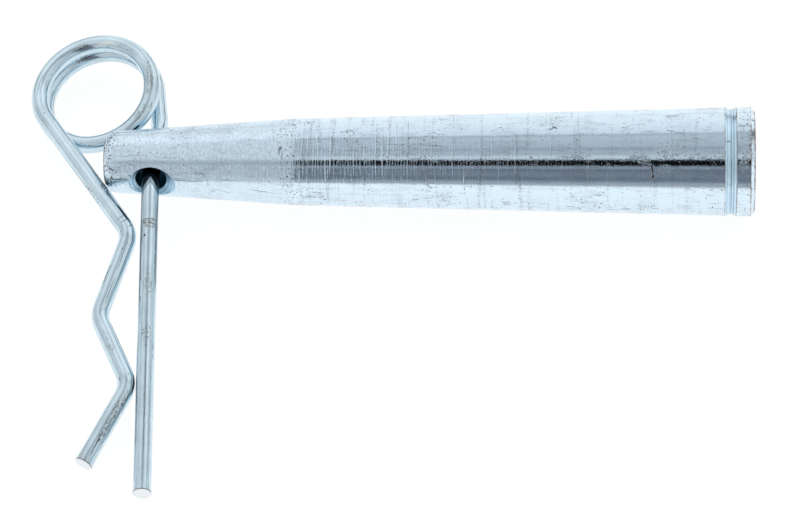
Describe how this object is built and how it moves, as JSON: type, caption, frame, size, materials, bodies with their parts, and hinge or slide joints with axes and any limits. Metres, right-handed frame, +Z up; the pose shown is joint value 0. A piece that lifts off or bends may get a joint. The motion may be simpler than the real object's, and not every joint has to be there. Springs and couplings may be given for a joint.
{
  "type": "truss pin with spring clip",
  "caption": "Tapered steel truss pin, zinc plated, with a wire R-clip through the cross hole near its narrow end. It locks a conical coupler.",
  "frame": {"origin": "bottom centre of the bounding box of pin and clip, on the surface they lie on", "axes": "+X along the pin towards its wide struck end, -Y along the clip's legs towards their tips, +Z up"},
  "size_m": [0.0847, 0.0626, 0.0127],
  "materials": {
    "turned_zinc": "turned steel under bright blue-white zinc plate, with fine turning lines, scratches and small brown rust pits",
    "drawn_zinc_wire": "drawn spring wire under thin blue-white zinc, with lines along the wire and brown rubbed marks at the bends"
  },
  "bodies": {
    "pin": {"tapered_pin": "turned_zinc"},
    "clip": {"spring_clip": "drawn_zinc_wire"}
  },
  "joints": [
    {"name": "clip_swivel", "type": "hinge", "parent": "pin", "child": "clip", "pos_m": [-0.02716, 0.01484, 0.00404], "axis": [-0.029, -0.958, 0.2852], "range_deg": [-140, 125]}
  ]
}
